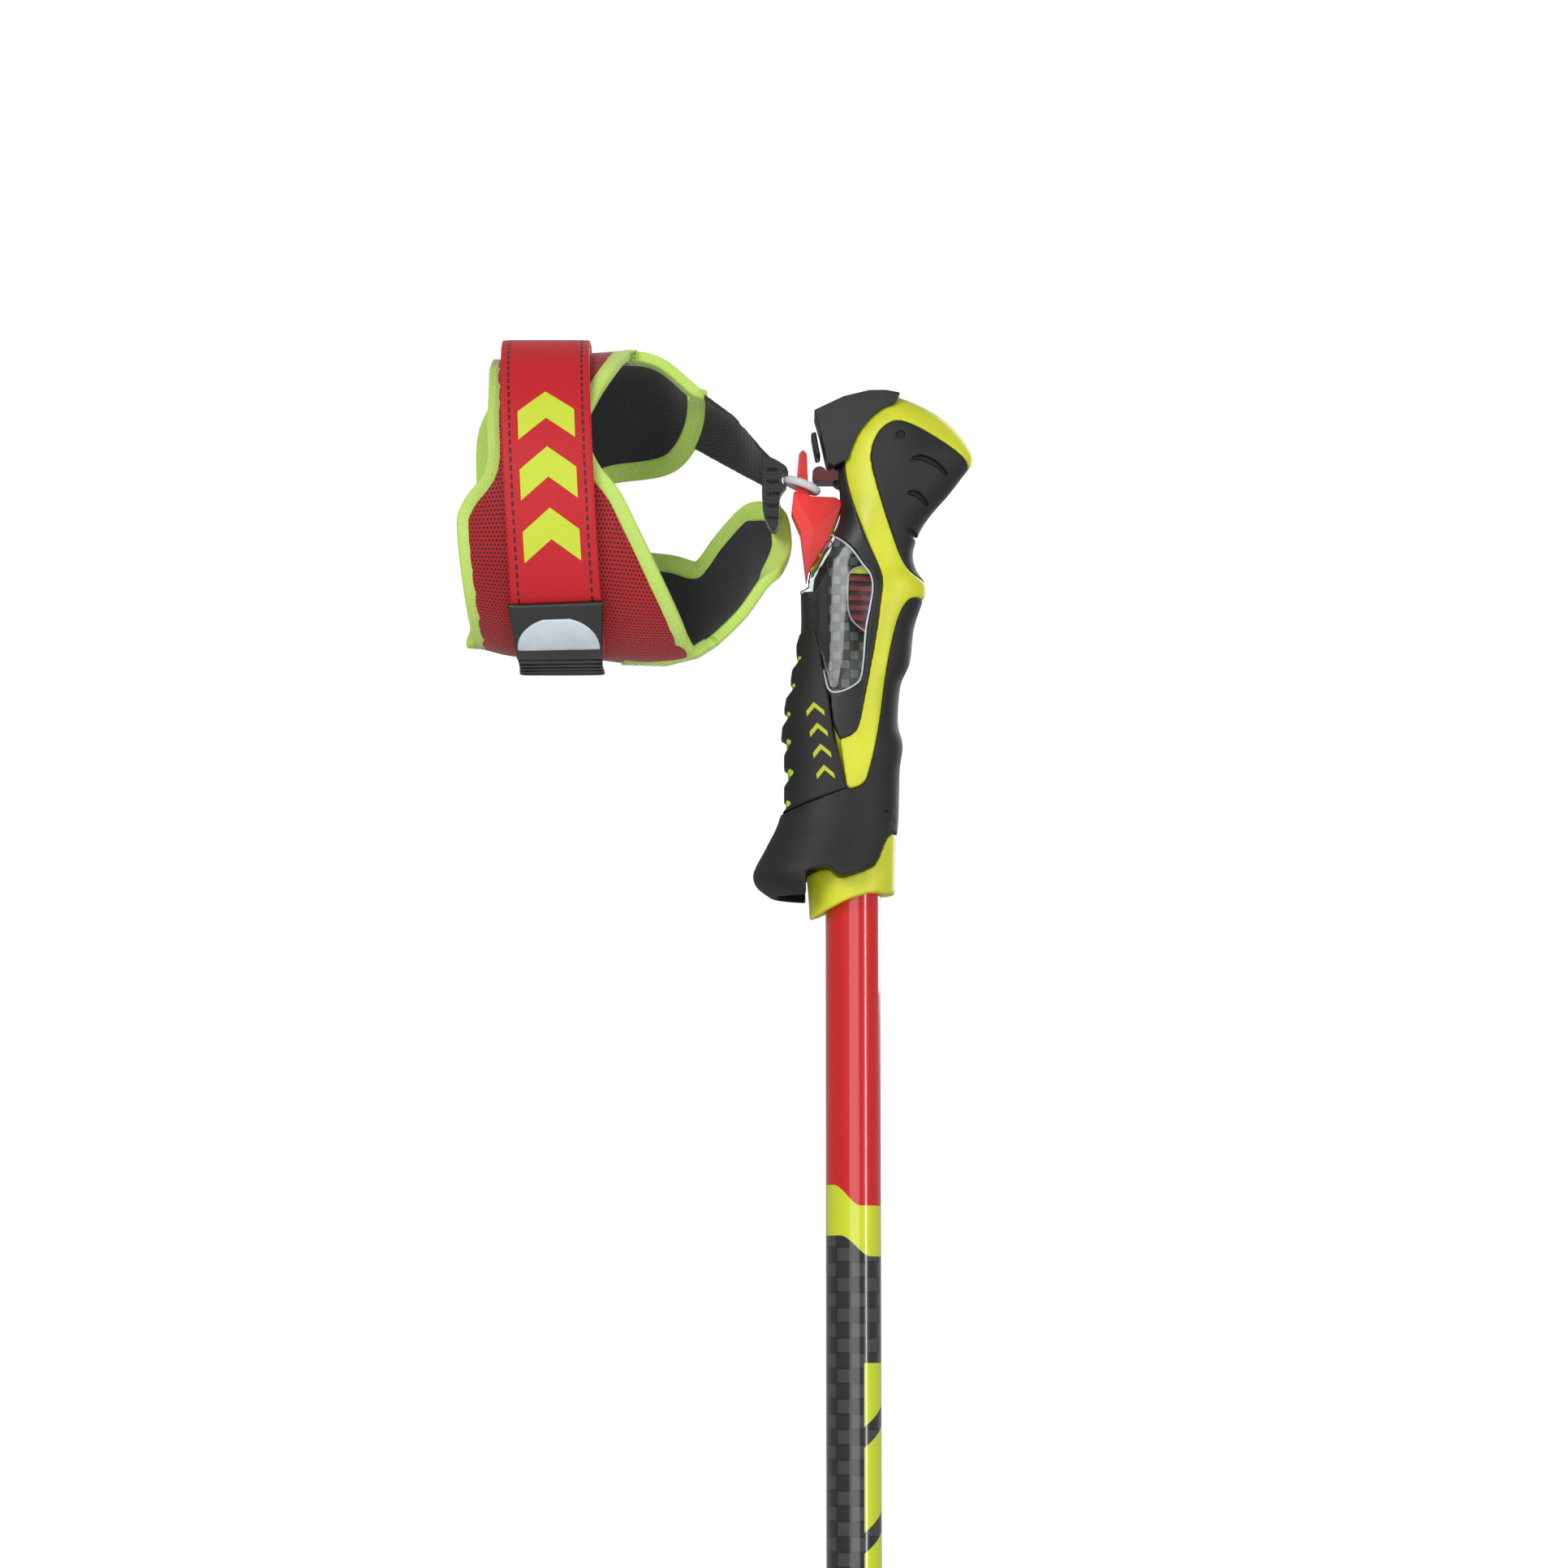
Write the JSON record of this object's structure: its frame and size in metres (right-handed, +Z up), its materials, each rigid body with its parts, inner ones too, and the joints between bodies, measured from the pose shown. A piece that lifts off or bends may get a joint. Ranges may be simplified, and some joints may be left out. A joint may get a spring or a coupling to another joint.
{
  "type": "ski pole",
  "caption": "Alpine race ski pole with a shaped two-material grip, quick-release trigger and a padded hand harness that wraps the hand; tapered carbon shaft, basket and hard tip.",
  "frame": {"origin": "point of the tip, on the shaft axis", "axes": "+Z up the shaft towards the grip, +X towards the finger side of the grip, -Y towards the outside of the right hand"},
  "size_m": [0.1487, 0.068, 1.2165],
  "materials": {
    "shaft": "clear-coated carbon weave, red lacquer and lime band towards the grip",
    "tip_plastic": "fine matte",
    "carbide": "ground",
    "basket_plastic": "satin",
    "weave_tube": "clear-coated carbon weave",
    "lime_plastic": "satin",
    "red_insert": "satin",
    "grip_rubber": "fine matte grain",
    "frame_plastic": "satin",
    "clear_window": "glossy clear",
    "soft_inlay": "soft matte",
    "catch_red": "satin",
    "lever_plastic": "satin grain",
    "pin_steel": "ground",
    "spring_steel": "drawn wire",
    "trigger_red": "semi-gloss",
    "white_cord": "braided",
    "black_webbing": "woven, bar-tacked",
    "lining": "twill",
    "lime_tape": "stitched tape",
    "red_mesh": "open mesh",
    "ring_plastic": "glossy",
    "red_belt": "satin weave",
    "hook_tape": "hook tape",
    "tab_rubber": "moulded"
  },
  "bodies": {
    "pole": {"shaft_tube": "shaft", "tip_sleeve": "tip_plastic", "carbide_tip": "carbide", "basket": "basket_plastic", "core_tube": "weave_tube", "grip_core": "lime_plastic", "damper": "red_insert", "upper_pad": "grip_rubber", "side_frame": "frame_plastic", "window": "clear_window", "grip_rubber": "grip_rubber", "palm_inlays": "soft_inlay", "palm_pad": "grip_rubber", "catch": "catch_red", "lever_pin": "pin_steel", "lever_spring": "spring_steel", "trigger_pin": "pin_steel", "trigger_spring": "spring_steel"},
    "lever": {"release_lever": "lever_plastic"},
    "trigger": {"trigger": "trigger_red"},
    "loop": {"strap_loop": "white_cord"},
    "strap": {"loop_knot": "black_webbing", "webbing": "black_webbing", "palm_panel": "lining", "palm_binding": "lime_tape", "back_panel": "red_mesh", "back_binding": "lime_tape", "ring": "ring_plastic", "ring_tab": "black_webbing", "belt_inner": "red_belt", "hook_patch": "hook_tape"},
    "belt": {"belt_outer": "red_belt", "belt_tab": "tab_rubber"}
  },
  "joints": [
    {"name": "lever_press", "type": "hinge", "parent": "pole", "child": "lever", "pos_m": [0.0142, 0, 1.1864], "axis": [0, -1, 0], "range_deg": [0, 4], "stiffness_Nm_per_rad": 1.2, "springref_deg": -2.86, "deforming": ["lever_spring"]},
    {"name": "trigger_press", "type": "hinge", "parent": "pole", "child": "trigger", "pos_m": [-0.0013, 0, 1.166], "axis": [0, -1, 0], "range_deg": [0, 5], "stiffness_Nm_per_rad": 0.8, "springref_deg": -2.86},
    {"name": "strap_swivel", "type": "hinge", "parent": "pole", "child": "loop", "pos_m": [-0.0149, 0, 1.1731], "axis": [0, 0, 1], "range_deg": [-20, 20]},
    {"name": "strap_tilt", "type": "hinge", "parent": "loop", "child": "strap", "pos_m": [-0.01922, 0, 1.17467], "axis": [0, 1, 0], "range_deg": [-12, 12]},
    {"name": "belt_open", "type": "hinge", "parent": "strap", "child": "belt", "pos_m": [-0.0895, 0.014, 1.2105], "axis": [-1, 0, 0], "range_deg": [0, 35]}
  ]
}
